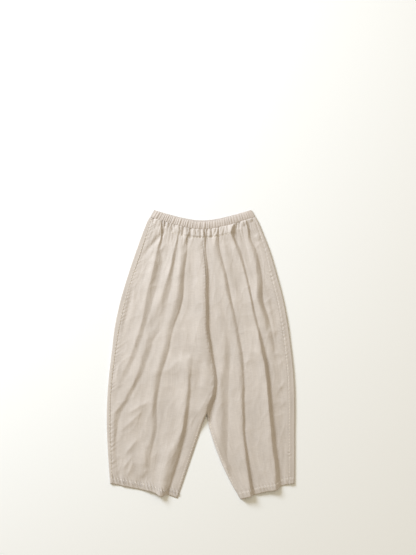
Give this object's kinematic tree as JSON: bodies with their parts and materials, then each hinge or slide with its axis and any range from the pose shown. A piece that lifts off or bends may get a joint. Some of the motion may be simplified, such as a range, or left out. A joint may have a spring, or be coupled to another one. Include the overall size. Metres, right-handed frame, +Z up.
{
  "type": "baggy trousers",
  "caption": "Baggy cropped trousers of light woven cloth with a gathered elastic waist, laid flat with soft lengthwise folds.",
  "frame": {"origin": "on the surface it lies on, at the middle of the outline", "axes": "+X to the right across the laid garment as its front is seen, +Y from the hems towards the waist, +Z up"},
  "size_m": [0.5824, 0.896, 0.0176],
  "materials": {
    "cloth": "soft plain weave",
    "band_cloth": "gathered plain weave"
  },
  "bodies": {
    "root": {"waistband": "band_cloth", "front_right_leg": "cloth", "front_left_leg": "cloth", "back_right_leg": "cloth", "back_left_leg": "cloth"}
  },
  "joints": []
}
